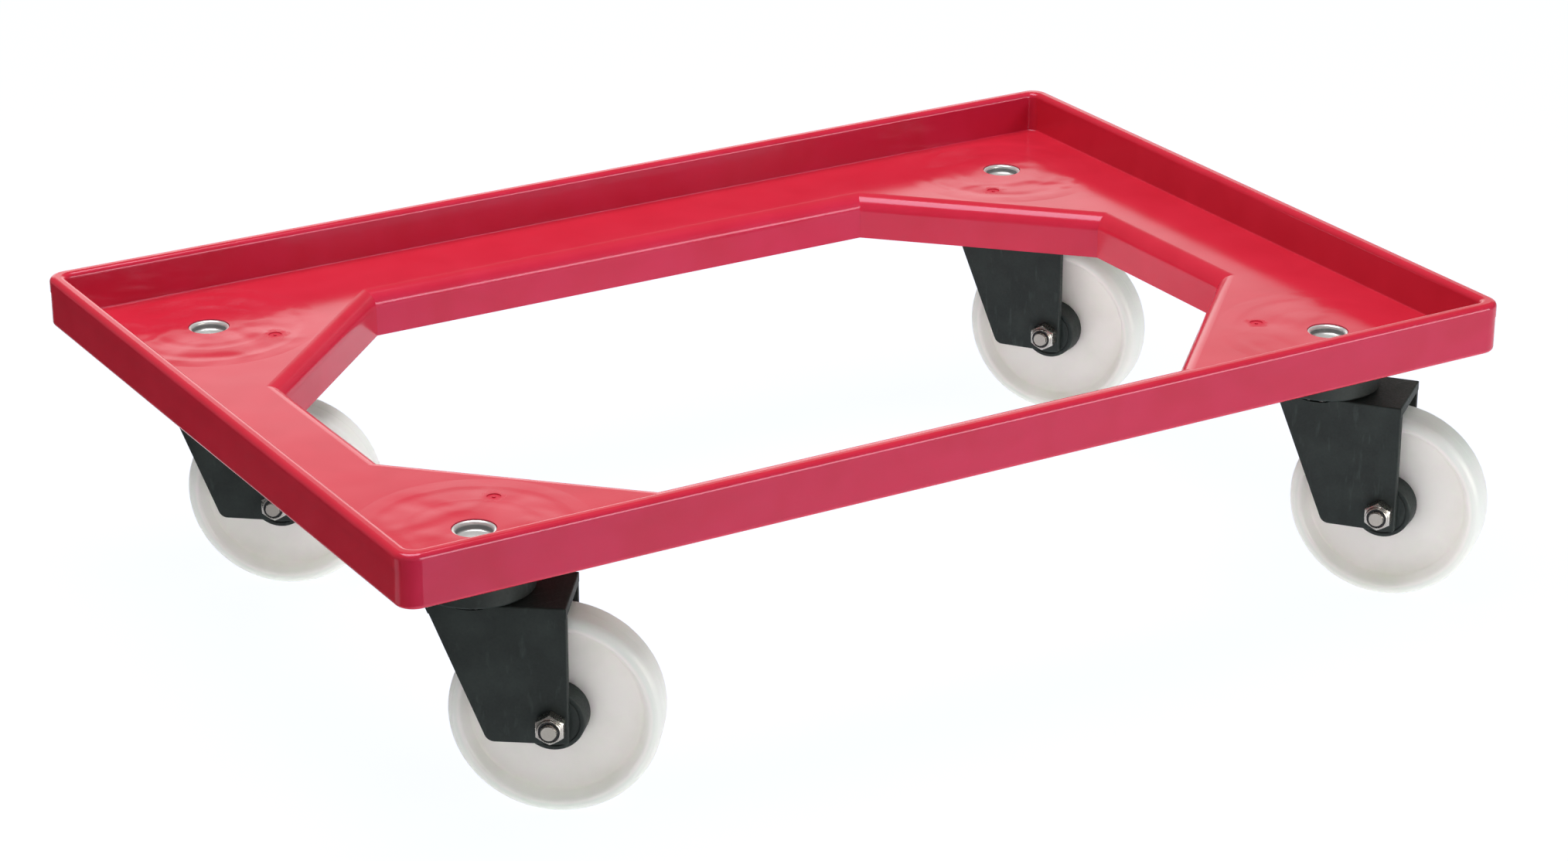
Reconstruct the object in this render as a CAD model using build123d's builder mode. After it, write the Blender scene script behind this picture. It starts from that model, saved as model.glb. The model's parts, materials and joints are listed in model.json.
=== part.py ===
"""Crate dolly: a moulded frame with a rim for a crate, on four swivel castors.

Millimetres, +Z up. The origin is on the floor, below the middle of the frame. X runs along the long side.
"""

import os

from build123d import *

# Frame
frame_length = 620.0
frame_width = 420.0
frame_corner_radius = 10.0
rim_height = 22.5  # above the deck
rim_thickness = 6.0
rim_edge_radius = 2.9  # both top edges, so that the rim's top is almost a half round
rim_band_height = 8.0  # the rim's top band, down to the mould's parting line
rim_band_step = 0.25  # how far the band stands proud of the wall below it
pocket_corner_radius = 5.0
pocket_floor_radius = 0.7
wall_bottom_radius = 2.5
deck_thickness = 4.3

# Opening in the deck, with its skirt
long_rail_width = 59.5
short_rail_width = 64.5
opening_corner_cut = 95.5
skirt_depth = 24.0  # from the deck's top
skirt_thickness = 4.5
roll_radius = 8.5  # the deck's edge, rolled over into the skirt

# Ribs and castor seats below the deck
rib_thickness = 3.0
rib_spacing = 60.0
long_rail_ribs = 5
short_rail_ribs = 2
rib_toe = 6.0  # from the rib's thin end to the frame's edge
seat_ring_depth = 12.0
seat_ring_thickness = 2.5
seat_clearance = 0.4
outer_ring_radius = 45.0
outer_ring_depth = 6.5
seat_rib_count = 8

# Gate marks of the mould, one beside each castor
gate_offset_x = 24.5  # towards the middle of the frame
gate_offset_y = 28.0
gate_radius = 3.4
gate_depth = 0.5
gate_nub_radius = 0.9

# Castor places, and the directions in which the wheels trail at rest, in degrees from +X
castor_inset_x = 65.0
castor_inset_y = 60.0
front_left_turn = -36.5
front_right_turn = -51.5
rear_right_turn = -55.0
rear_left_turn = -38.5

# Wheel
wheel_diameter = 100.0
wheel_width = 23.0
shoulder_radius = 3.8  # between the tread and the rim's side
rim_thickness = 7.7
lip_radius = 3.5  # between the rim's side and its inside
web_thickness = 9.5
web_fillet = 2.5  # between the web and the rim's inside

# Hub bushes and the sleeve that they run on
sleeve_diameter = 12.0
running_clearance = 0.05
fit_clearance = 0.05
bush_wall = 3.0
bush_flange_radius = 16.0
bush_flange_taper = 1.0
bush_spigot_length = 4.0
bush_end_clearance = 0.35
bush_groove_radius = 13.0
bush_groove_depth = 0.6
bush_groove_width = 0.8

# Fork
trail = 36.7
fork_gap = 33.0  # between the legs
leg_thickness = 4.0
plate_thickness = 5.0
plate_overhang = 0.5
wheel_top_clearance = 4.0
fork_nose = 20.8  # from the swivel axis to the plate's front end
fork_toe = 30.0  # from the axle forward to the leg's lower corner
fork_heel = 8.0  # from the axle back to the leg's rear edge
fork_foot = 10.0  # from the axle down to the leg's lower edge
toe_radius = 5.0
heel_radius = 1.5
plate_edge_radius = 0.8
leg_edge_radius = 0.8
front_web_thickness = 3.0
front_web_depth = 14.0

# Axle bolt and lock nut
bolt_diameter = 8.0
bolt_clearance = 0.2
bolt_head_height = 5.3
bolt_end_chamfer = 0.5
bolt_end_stand = 1.6  # the bolt's end beyond the nut
nut_flats = 13.0
nut_turn = 30.0  # degrees, a corner of the hexagon stands upright
nut_hex_height = 6.4
nut_collar_height = 1.6
nut_collar_radius = 5.9
nut_chamfer = 0.6
nut_ring_thickness = 1.0
nut_ring_height = 2.0
nut_ring_sink = 0.4

# Swivel bearing
collar_diameter = 56.0
collar_height = 24.0
collar_edge_radius = 1.2
bearing_gap = 0.8  # between the collar and the fork
ball_radius = 3.0
ball_clearance = 0.3
ball_count = 18
race_radius = 19.5
pin_bore_radius = 8.8
pin_wall = 0.9
pin_cup_depth = 4.4  # from the flare's top to the pin's closed floor
pin_floor_thickness = 1.5
pin_clearance = 0.1
pin_flange_radius = 12.5
pin_flange_thickness = 1.3
pin_flange_room = 1.0  # kept free in the fork, round the flange
flare_radius = 10.3
flare_clearance = 0.25
flare_seat_depth = 2.3
flare_sink = 0.5  # the flare's top below the deck
washer_thickness = 1.0
washer_clearance = 0.25
swivel_bush_wall = 1.9

# Heights, stacked up from the floor
wheel_radius = wheel_diameter / 2
axle_height = wheel_radius
plate_bottom = wheel_diameter + wheel_top_clearance
fork_top = plate_bottom + plate_thickness
collar_bottom = fork_top + bearing_gap
deck_bottom = collar_bottom + collar_height
deck_top = deck_bottom + deck_thickness
rim_top = deck_top + rim_height
skirt_bottom = deck_top - skirt_depth
flare_seat = deck_top - flare_seat_depth
washer_bottom = plate_bottom - washer_clearance - washer_thickness
pin_bottom = washer_bottom - pin_flange_thickness

# Places and radii that several pieces share
castor_x = frame_length / 2 - castor_inset_x
castor_y = frame_width / 2 - castor_inset_y
opening_length = frame_length - 2 * short_rail_width
opening_width = frame_width - 2 * long_rail_width
pin_radius = pin_bore_radius + pin_wall
pin_hole_radius = pin_radius + pin_clearance
swivel_bush_radius = pin_radius + running_clearance + swivel_bush_wall
seat_radius = collar_diameter / 2 + seat_clearance
sleeve_radius = sleeve_diameter / 2
bush_bore_radius = sleeve_radius + running_clearance
bush_radius = bush_bore_radius + bush_wall
bolt_hole_radius = bolt_diameter / 2 + bolt_clearance
fork_width = fork_gap + 2 * leg_thickness
hub_face = web_thickness / 2
rim_inner_radius = wheel_radius - rim_thickness
bush_end = fork_gap / 2 - bush_end_clearance
nut_height = nut_hex_height + nut_collar_height
rib_root = skirt_thickness / 2  # the ribs start within the skirt

# Each castor: which corner it is at, and the way that it trails
castors = {
    "front_left": (-1, -1, front_left_turn),
    "front_right": (1, -1, front_right_turn),
    "rear_right": (1, 1, rear_right_turn),
    "rear_left": (-1, 1, rear_left_turn),
}
castor_spots = [(side_x * castor_x, side_y * castor_y) for side_x, side_y, _ in castors.values()]
gate_spots = [
    (side_x * (castor_x - gate_offset_x), side_y * (castor_y - gate_offset_y))
    for side_x, side_y, _ in castors.values()
]

os.makedirs("parts", exist_ok=True)


def save(piece, name):
    """Label a finished piece and write it under its own name."""
    piece.part.label = name
    export_step(piece.part, f"parts/{name}.step")


def opening_outline(margin):
    """Points of the eight-sided opening, widened by a margin on every side."""
    half_length = opening_length / 2 + margin
    half_width = opening_width / 2 + margin
    # a 45 degree corner moved out by the margin shortens each leg of the cut by this much
    cut = opening_corner_cut + margin * (2 - 2**0.5)
    return [
        (half_length, -half_width + cut),
        (half_length, half_width - cut),
        (half_length - cut, half_width),
        (-half_length + cut, half_width),
        (-half_length, half_width - cut),
        (-half_length, -half_width + cut),
        (-half_length + cut, -half_width),
        (half_length - cut, -half_width),
    ]


# Frame: wall and deck, the pocket for the crate, then what hangs below the deck
with BuildPart() as frame:
    with BuildSketch(Plane.XY.offset(deck_bottom)):
        RectangleRounded(
            frame_length - 2 * rim_band_step,
            frame_width - 2 * rim_band_step,
            frame_corner_radius - rim_band_step,
        )
    extrude(amount=deck_thickness + rim_height - rim_band_height)
    fillet(frame.faces().sort_by(Axis.Z)[0].edges(), radius=wall_bottom_radius)
    with BuildSketch(Plane.XY.offset(rim_top - rim_band_height)):
        RectangleRounded(frame_length, frame_width, frame_corner_radius)
    extrude(amount=rim_band_height)

    # pocket for the crate, with its floor blended into the rim
    with BuildSketch(Plane.XY.offset(deck_top)):
        RectangleRounded(
            frame_length - 2 * rim_thickness, frame_width - 2 * rim_thickness, pocket_corner_radius
        )
    extrude(amount=rim_height, mode=Mode.SUBTRACT)
    pocket_floor = frame.faces().filter_by(Axis.Z).group_by(Axis.Z)[1]
    fillet(pocket_floor.edges(), radius=pocket_floor_radius)
    fillet(frame.faces().sort_by(Axis.Z)[-1].edges(), radius=rim_edge_radius)

    # skirt round the opening
    with BuildSketch(Plane.XY.offset(skirt_bottom)):
        Polygon(*opening_outline(skirt_thickness), align=None)
    extrude(amount=skirt_depth - deck_thickness)

    # the opening itself, with its top edge rolled over
    with BuildSketch(Plane.XY.offset(skirt_bottom)):
        Polygon(*opening_outline(0), align=None)
    extrude(amount=skirt_depth, mode=Mode.SUBTRACT)
    deck_edges = frame.edges().filter_by(GeomType.LINE).filter_by_position(
        Axis.Z, deck_top - rim_band_step, deck_top + rim_band_step
    )
    opening_edges = deck_edges.filter_by_position(
        Axis.X, -opening_length / 2, opening_length / 2
    ).filter_by_position(Axis.Y, -opening_width / 2, opening_width / 2)
    fillet(opening_edges, radius=roll_radius)

    # castor seats: a ring round each collar, an outer ring and ribs between the two
    with BuildSketch(Plane.XY.offset(deck_bottom)):
        with Locations(*castor_spots):
            Circle(outer_ring_radius)
            Circle(outer_ring_radius - rib_thickness, mode=Mode.SUBTRACT)
        for spot_x, spot_y in castor_spots:
            with Locations((spot_x, spot_y)):
                with PolarLocations(0, seat_rib_count):
                    Rectangle(
                        outer_ring_radius - rib_thickness / 2, rib_thickness, align=(Align.MIN, Align.CENTER)
                    )
        with Locations(*castor_spots):
            Circle(seat_radius, mode=Mode.SUBTRACT)
        RectangleRounded(
            frame_length - 2 * rib_toe, frame_width - 2 * rib_toe, frame_corner_radius, mode=Mode.INTERSECT
        )
        Polygon(*opening_outline(rib_root), align=None, mode=Mode.SUBTRACT)
    extrude(amount=-outer_ring_depth)
    with BuildSketch(Plane.XY.offset(deck_bottom)):
        with Locations(*castor_spots):
            Circle(seat_radius + seat_ring_thickness)
            Circle(seat_radius, mode=Mode.SUBTRACT)
        Polygon(*opening_outline(rib_root), align=None, mode=Mode.SUBTRACT)
    extrude(amount=-seat_ring_depth)

    # ribs that run from the skirt to the frame's edge, thin at the edge
    for index in range(long_rail_ribs):
        rib_x = (index - (long_rail_ribs - 1) / 2) * rib_spacing
        with BuildSketch(Plane.YZ.offset(rib_x)):
            Polygon(
                (opening_width / 2 + rib_root, skirt_bottom),
                (frame_width / 2 - rib_toe, deck_bottom),
                (opening_width / 2 + rib_root, deck_bottom),
                align=None,
            )
            mirror(about=Plane.YZ)
        extrude(amount=rib_thickness / 2, both=True)
    for index in range(short_rail_ribs):
        rib_y = (index - (short_rail_ribs - 1) / 2) * rib_spacing
        with BuildSketch(Plane.XZ.offset(rib_y)):
            Polygon(
                (opening_length / 2 + rib_root, skirt_bottom),
                (frame_length / 2 - rib_toe, deck_bottom),
                (opening_length / 2 + rib_root, deck_bottom),
                align=None,
            )
            mirror(about=Plane.YZ)
        extrude(amount=rib_thickness / 2, both=True)

    # holes for the king pins, and the gate marks
    with Locations(*[(spot_x, spot_y, deck_top) for spot_x, spot_y in castor_spots]):
        CounterBoreHole(pin_hole_radius, flare_radius + flare_clearance, flare_seat_depth, depth=deck_thickness)
    with BuildSketch(Plane.XY.offset(deck_top)):
        with Locations(*gate_spots):
            Circle(gate_radius)
            Circle(gate_nub_radius, mode=Mode.SUBTRACT)
    extrude(amount=-gate_depth, mode=Mode.SUBTRACT)

save(frame, "frame")

for name, (side_x, side_y, turn) in castors.items():
    # castor: on the floor below the swivel axis, X along the trail
    castor = Plane((side_x * castor_x, side_y * castor_y, 0)).rotated((0, 0, turn))
    swivel_axis = Axis(castor.origin, castor.z_dir)
    # swivel_side: upright along the trail, its normal towards the nut
    swivel_side = Plane(castor.origin, x_dir=castor.x_dir, z_dir=-castor.y_dir)
    # axle_across: square to the axle at the wheel's middle; axle_section: upright along the axle
    axle_across = Plane(castor.from_local_coords((trail, 0, axle_height)), castor.x_dir, -castor.y_dir)
    axle_section = Plane(axle_across.origin, x_dir=axle_across.z_dir, z_dir=-castor.x_dir)
    axle_axis = Axis(axle_across.origin, axle_across.z_dir)

    # Swivel collar: the bearing's housing, with the upper half of the ball race
    with BuildPart() as swivel_collar:
        with BuildSketch(castor.offset(collar_bottom)):
            Circle(collar_diameter / 2)
            Circle(pin_hole_radius, mode=Mode.SUBTRACT)
        extrude(amount=collar_height)
        rim_edges = swivel_collar.edges().filter_by(GeomType.CIRCLE).sort_by(SortBy.RADIUS)[-2:]
        fillet(rim_edges, radius=collar_edge_radius)
        with BuildSketch(swivel_side):
            with Locations((race_radius, fork_top + bearing_gap / 2)):
                Circle(ball_radius + ball_clearance)
        revolve(axis=swivel_axis, mode=Mode.SUBTRACT)
    save(swivel_collar, f"{name}_swivel_collar")

    # King pin: a tube closed by a floor near its top, flared in the deck's hole and flanged below the fork
    with BuildPart() as king_pin:
        with BuildSketch(swivel_side):
            with BuildLine():
                flare_top = deck_top - flare_sink
                flare_reach = flare_radius - pin_bore_radius
                cup_floor = flare_top - pin_cup_depth
                Polyline(
                    (pin_bore_radius, flare_top - flare_reach),
                    (pin_bore_radius, cup_floor),
                    (0, cup_floor),
                    (0, cup_floor - pin_floor_thickness),
                    (pin_bore_radius, cup_floor - pin_floor_thickness),
                    (pin_bore_radius, pin_bottom),
                    (pin_flange_radius, pin_bottom),
                    (pin_flange_radius, washer_bottom),
                    (pin_radius, washer_bottom),
                    (pin_radius, flare_seat),
                    (flare_radius, flare_seat),
                    (flare_radius, flare_top),
                )
                CenterArc(
                    center=(flare_radius, flare_top - flare_reach),
                    radius=flare_reach,
                    start_angle=90,
                    arc_size=90,
                )
            make_face()
        revolve(axis=swivel_axis)
    save(king_pin, f"{name}_king_pin")

    # Bearing balls: they lie between the collar and the fork's plate
    with BuildPart(castor.offset(fork_top + bearing_gap / 2)) as bearing_balls:
        with PolarLocations(race_radius, ball_count):
            Sphere(ball_radius)
    save(bearing_balls, f"{name}_bearing_balls")

    # Thrust washer: on the king pin's flange, just below the fork's plate
    with BuildPart() as thrust_washer:
        with BuildSketch(castor.offset(washer_bottom)):
            Circle(pin_flange_radius)
            Circle(pin_hole_radius, mode=Mode.SUBTRACT)
        extrude(amount=washer_thickness)
    save(thrust_washer, f"{name}_thrust_washer")

    # Swivel bush: lines the fork's hole round the king pin
    with BuildPart() as swivel_bush:
        with BuildSketch(castor.offset(plate_bottom)):
            Circle(swivel_bush_radius)
            Circle(pin_radius + running_clearance, mode=Mode.SUBTRACT)
        extrude(amount=plate_thickness)
    save(swivel_bush, f"{name}_swivel_bush")

    # Fork: a block of the leg's outline, hollowed out for the wheel, with the plate on top
    with BuildPart() as fork:
        front_lean = (trail - fork_toe + fork_nose) / (fork_top - axle_height + fork_foot)
        web_bottom = plate_bottom - front_web_depth
        web_top_u = -fork_nose + front_lean * plate_thickness + front_web_thickness
        web_bottom_u = web_top_u + front_lean * front_web_depth
        with BuildSketch(swivel_side) as leg_outline:
            Polygon(
                (-fork_nose, fork_top),
                (trail - fork_toe, axle_height - fork_foot),
                (trail + fork_heel, axle_height - fork_foot),
                (trail + fork_heel, fork_top),
                align=None,
            )
            low_corners = leg_outline.vertices().group_by(Axis.Y)[0].sort_by(Axis.X)
            fillet(low_corners[0], radius=toe_radius)
            fillet(leg_outline.vertices().group_by(Axis.Y)[0].sort_by(Axis.X)[-1], radius=heel_radius)
        extrude(amount=fork_width / 2, both=True)
        leg_faces = fork.faces().filter_by(axle_axis)
        fillet(leg_faces.edges(), radius=leg_edge_radius)
        with BuildSketch(swivel_side):
            Polygon(
                (web_top_u, plate_bottom),
                (web_bottom_u, web_bottom),
                (-fork_nose - fork_toe, web_bottom),
                (-fork_nose - fork_toe, 0),
                (trail + fork_toe, 0),
                (trail + fork_toe, plate_bottom),
                align=None,
            )
        extrude(amount=fork_gap / 2, both=True, mode=Mode.SUBTRACT)
        with BuildSketch(castor.offset(pin_bottom - pin_flange_room)):
            Circle(pin_flange_radius + pin_flange_room)
        extrude(amount=plate_bottom - pin_bottom + pin_flange_room, mode=Mode.SUBTRACT)
        with BuildSketch(swivel_side):
            Polygon(
                (-fork_nose, fork_top),
                (-fork_nose + front_lean * plate_thickness, plate_bottom),
                (trail + fork_heel, plate_bottom),
                (trail + fork_heel, fork_top),
                align=None,
            )
        extrude(amount=fork_width / 2 + plate_overhang, both=True)
        fillet(fork.faces().sort_by(Axis.Z)[-1].edges(), radius=plate_edge_radius)
        with BuildSketch(castor.offset(plate_bottom)):
            Circle(swivel_bush_radius + fit_clearance)
        extrude(amount=plate_thickness, mode=Mode.SUBTRACT)
        with BuildSketch(swivel_side):
            with Locations((race_radius, fork_top + bearing_gap / 2)):
                Circle(ball_radius + ball_clearance)
        revolve(axis=swivel_axis, mode=Mode.SUBTRACT)
        with BuildSketch(axle_across):
            Circle(bolt_hole_radius)
        extrude(amount=fork_width, both=True, mode=Mode.SUBTRACT)
    save(fork, f"{name}_fork")

    # Axle bolt: its head is on the far leg, its end shows in the nut
    bolt_end = fork_width / 2 + nut_height + bolt_end_stand
    with BuildPart() as axle_bolt:
        with BuildSketch(axle_across.offset(-fork_width / 2)):
            RegularPolygon(nut_flats / 2, side_count=6, major_radius=False, rotation=nut_turn)
        extrude(amount=-bolt_head_height)
        with BuildSketch(axle_across.offset(-fork_width / 2)):
            Circle(bolt_diameter / 2)
        extrude(amount=fork_width / 2 + bolt_end)
        chamfer(axle_bolt.faces().sort_by(axle_axis)[-1].edges(), length=bolt_end_chamfer)
    save(axle_bolt, f"{name}_axle_bolt")

    # Lock nut: a hexagon below a round collar that holds the locking ring
    ring_radius = bolt_diameter / 2 + running_clearance + nut_ring_thickness
    with BuildPart() as lock_nut:
        with BuildSketch(axle_across.offset(fork_width / 2)):
            RegularPolygon(nut_flats / 2, side_count=6, major_radius=False, rotation=nut_turn)
        extrude(amount=nut_hex_height)
        with BuildSketch(axle_across.offset(fork_width / 2 + nut_hex_height)):
            Circle(nut_collar_radius)
        extrude(amount=nut_collar_height)
        chamfer(lock_nut.faces().sort_by(axle_axis)[-1].edges(), length=nut_chamfer)
        with BuildSketch(axle_across.offset(fork_width / 2)):
            Circle(bolt_diameter / 2 + running_clearance)
        extrude(amount=nut_height, mode=Mode.SUBTRACT)
        with BuildSketch(axle_across.offset(fork_width / 2 + nut_height)):
            Circle(ring_radius + fit_clearance)
        extrude(amount=-nut_ring_sink - nut_ring_height, mode=Mode.SUBTRACT)
    save(lock_nut, f"{name}_lock_nut")

    # Nut ring: the plastic ring that grips the bolt's thread
    with BuildPart() as nut_ring:
        with BuildSketch(axle_across.offset(fork_width / 2 + nut_height - nut_ring_sink)):
            Circle(ring_radius)
            Circle(bolt_diameter / 2 + running_clearance, mode=Mode.SUBTRACT)
        extrude(amount=-nut_ring_height)
    save(nut_ring, f"{name}_nut_ring")

    # Axle sleeve: clamped between the legs, it carries the hub bushes
    with BuildPart() as axle_sleeve:
        with BuildSketch(axle_across):
            Circle(sleeve_radius)
            Circle(bolt_diameter / 2 + running_clearance, mode=Mode.SUBTRACT)
        extrude(amount=fork_gap / 2, both=True)
    save(axle_sleeve, f"{name}_axle_sleeve")

    # Wheel: flat tread, a rim with round edges, and a web that lies well back from the rim's sides
    with BuildPart() as wheel:
        with BuildSketch(axle_section):
            with BuildLine():
                shoulder_foot = wheel_radius - shoulder_radius
                lip_foot = wheel_width / 2 - lip_radius
                Polyline(
                    (0, wheel_radius),
                    (0, bush_radius + fit_clearance),
                    (hub_face, bush_radius + fit_clearance),
                    (hub_face, rim_inner_radius - web_fillet),
                )
                CenterArc(
                    center=(hub_face + web_fillet, rim_inner_radius - web_fillet),
                    radius=web_fillet,
                    start_angle=180,
                    arc_size=-90,
                )
                Line((hub_face + web_fillet, rim_inner_radius), (lip_foot, rim_inner_radius))
                CenterArc(
                    center=(lip_foot, rim_inner_radius + lip_radius),
                    radius=lip_radius,
                    start_angle=270,
                    arc_size=90,
                )
                Line((wheel_width / 2, rim_inner_radius + lip_radius), (wheel_width / 2, shoulder_foot))
                CenterArc(
                    center=(wheel_width / 2 - shoulder_radius, shoulder_foot),
                    radius=shoulder_radius,
                    start_angle=0,
                    arc_size=90,
                )
                Line((wheel_width / 2 - shoulder_radius, wheel_radius), (0, wheel_radius))
            make_face()
            mirror(about=Plane.YZ)
        revolve(axis=axle_axis)
    save(wheel, f"{name}_wheel")

    # Hub bushes: one from each side, the flange against the wheel's hub
    with BuildPart() as hub_bushes:
        with BuildSketch(axle_section):
            Polygon(
                (hub_face - bush_spigot_length, bush_bore_radius),
                (bush_end, bush_bore_radius),
                (bush_end, bush_groove_radius - bush_groove_width),
                (bush_end - bush_groove_depth, bush_groove_radius - bush_groove_width),
                (bush_end - bush_groove_depth, bush_groove_radius),
                (bush_end, bush_groove_radius),
                (bush_end, bush_flange_radius - bush_flange_taper),
                (hub_face, bush_flange_radius),
                (hub_face, bush_radius),
                (hub_face - bush_spigot_length, bush_radius),
                align=None,
            )
            mirror(about=Plane.YZ)
        revolve(axis=axle_axis)
    save(hub_bushes, f"{name}_hub_bushes")
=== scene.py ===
"""Crate dolly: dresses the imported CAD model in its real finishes. Laid out as an add-on, run as a script.

The frame, the forks, the swivel collars and the bearings keep their CAD shapes and get their finishes here.
The king pins, wheels, hub bushes, lock nuts and axle bolts are made again with the roundings, chamfers and
thread of the real ones.
"""

import json
import math
from functools import partial

import bmesh
import bpy
from bpy.props import FloatProperty, FloatVectorProperty, IntProperty, PointerProperty
from mathutils import Matrix, Vector


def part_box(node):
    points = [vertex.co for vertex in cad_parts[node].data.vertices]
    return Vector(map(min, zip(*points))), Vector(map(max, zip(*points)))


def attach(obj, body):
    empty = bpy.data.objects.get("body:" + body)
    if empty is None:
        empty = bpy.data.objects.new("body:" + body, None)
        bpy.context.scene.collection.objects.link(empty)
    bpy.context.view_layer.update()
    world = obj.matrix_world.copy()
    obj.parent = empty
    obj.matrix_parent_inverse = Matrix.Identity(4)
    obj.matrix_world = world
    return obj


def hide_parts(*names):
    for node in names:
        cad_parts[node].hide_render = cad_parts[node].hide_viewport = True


bl_info = {
    "name": "Crate Dolly",
    "version": (1, 0, 0),
    "blender": (4, 5, 0),
    "location": "3D View > Sidebar > Dolly",
    "description": "Dresses the packed crate dolly and sets up its studio",
    "category": "Object",
}

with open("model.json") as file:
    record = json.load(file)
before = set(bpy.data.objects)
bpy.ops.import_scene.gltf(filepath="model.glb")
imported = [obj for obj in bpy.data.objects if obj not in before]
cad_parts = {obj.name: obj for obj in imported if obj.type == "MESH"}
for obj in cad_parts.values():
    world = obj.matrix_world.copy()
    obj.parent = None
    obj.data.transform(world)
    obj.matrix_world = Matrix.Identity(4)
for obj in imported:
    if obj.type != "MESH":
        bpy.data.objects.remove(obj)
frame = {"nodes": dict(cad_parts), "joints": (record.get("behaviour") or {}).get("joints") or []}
bpy.context.view_layer.update()

MM = 0.001
UP = Vector((0, 0, 1))
CASTORS = ("front_left", "front_right", "rear_right", "rear_left")
JOINTS = {joint["name"]: joint for joint in frame["joints"]}
SWIVEL_PLACE = Vector(JOINTS["rear_right_swivel"]["pos_m"])
GATE_OFFSET = Vector((24.5, 28.0, 0)) * MM  # from a king pin in to the gate mark beside it
GATE_PLACE = SWIVEL_PLACE - GATE_OFFSET
FIT = 0.05 * MM  # play between pieces that sit or run on each other
WHEEL_LOW, WHEEL_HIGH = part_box("front_left_wheel")
PIN_LOW, PIN_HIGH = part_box("front_left_king_pin")


def linear(hex_colour):
    """An sRGB hex colour as linear red, green and blue."""
    channels = [int(hex_colour[start:start + 2], 16) / 255 for start in (1, 3, 5)]
    return tuple(c / 12.92 if c <= 0.04045 else ((c + 0.055) / 1.055) ** 2.4 for c in channels)


def rgba(colour):
    """A linear colour with full opacity."""
    return (*colour, 1.0)


def colour_property(name, description, hex_colour):
    """A colour that a user can change."""
    return FloatVectorProperty(
        name=name, description=description, subtype="COLOR", min=0, max=1, default=linear(hex_colour)
    )


def length_property(name, description, length):
    """A length that a user can change."""
    return FloatProperty(name=name, description=description, unit="LENGTH", default=length)


# Settings that a user would change


class DollyMouldingSettings(bpy.types.PropertyGroup):
    """Colours and gloss of the moulded plastics."""

    frame_colour: colour_property("Frame", "Red of the moulded frame", "#cd293d")
    # painted light: a bluer red on the faces that look along Y, standing in for bluish light from the front
    frame_wall_light_colour: colour_property(
        "Long walls", "Red plastic of the faces across the frame, a little bluer", "#cd2a4b"
    )
    frame_worn_colour: colour_property(
        "Frame, clouds", "Deeper red of the cloudy patches in the plastic", "#bf1e30"
    )
    # painted shade: a dull grey on the faces that look down, standing in for the shade under the frame
    frame_underside_shade_colour: colour_property(
        "Underside", "Greyish dust from the floor, on the faces that look down", "#8a7b75"
    )
    sink_depth: length_property("Sinks", "Depth of the sinks in the deck over the castor seats", 0.4 * MM)
    fork_colour: colour_property("Fork", "Black of the forks, collars and bushes", "#202a29")
    fork_scuff_colour: colour_property("Fork, scuffs", "Dull grey of the rubbed places on the black nylon", "#3c4745")
    wheel_colour: colour_property("Wheel", "White of the nylon wheels", "#f6f3f0")
    # painted light: a cooler, darker white on the outer ring, which offsets the red light that the frame throws on the
    # tread
    wheel_ring_light_colour: colour_property("Wheel, outer ring", "Cooler white of the thick outer ring", "#e6ebe7")
    wheel_soil_colour: colour_property("Wheel, soiling", "Grey that the floor leaves on the nylon", "#ebeae6")


class DollyWheelSettings(bpy.types.PropertyGroup):
    """Sizes of the wheel and of the hub bushes in it."""

    radius: length_property("Radius", "From the axle to the tread", (WHEEL_HIGH.z - WHEEL_LOW.z) / 2)
    width: length_property("Width", "Over the rim's sides", 23 * MM)
    shoulder: length_property("Shoulder", "Rounding between the tread and the rim's side", 3.8 * MM)
    mould_step: length_property("Mould step", "Fine step round each shoulder, where the mould parts", 0.12 * MM)
    mould_angle: FloatProperty(
        name="Mould angle", description="Where on the shoulder that step is, from the side to the tread",
        subtype="ANGLE", default=math.radians(26),
    )
    rim: length_property("Rim", "Thickness of the rim", 7.7 * MM)
    lip: length_property("Lip", "Rounding between the rim's side and its inside", 1.6 * MM)
    rim_slope: length_property("Rim slope", "How much wider the rim's inside is at its side than halfway in", 1.5 * MM)
    web: length_property("Web", "Thickness of the web", 9.5 * MM)
    web_fillet: length_property("Web fillet", "Rounding between the web and the rim's inside", 1.6 * MM)
    bush_radius: length_property("Bush radius", "Outside of the bush in the hub", 9.05 * MM)
    bush_bore: length_property("Bush bore", "Radius of the hole that runs on the sleeve", 6.05 * MM)
    flange_radius: length_property("Flange radius", "Of the bush, against the hub", 16 * MM)
    bush_end: length_property("Bush end", "From the wheel's middle to the flange's outer face", 16.15 * MM)
    spigot: length_property("Spigot", "Length of the bush inside the hub", 4 * MM)
    segments: IntProperty(name="Segments", description="Faces round the wheel", default=144, min=24)


class DollyPinSettings(bpy.types.PropertyGroup):
    """Sizes of the king pins."""

    top: length_property("Top", "Height of the lip", PIN_HIGH.z)
    bottom: length_property("Bottom", "Height of the foot", PIN_LOW.z)
    bore: length_property("Bore", "Inner radius of the tube", 8.8 * MM)
    radius: length_property("Radius", "Outer radius of the tube", 9.7 * MM)
    flare_radius: length_property("Flare radius", "Outside of the lip in the deck", 10.3 * MM)
    flange_radius: length_property("Flange radius", "Outside of the foot", 12.5 * MM)
    cup_depth: length_property("Cup depth", "From the lip down to the closed floor", 4.4 * MM)


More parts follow.
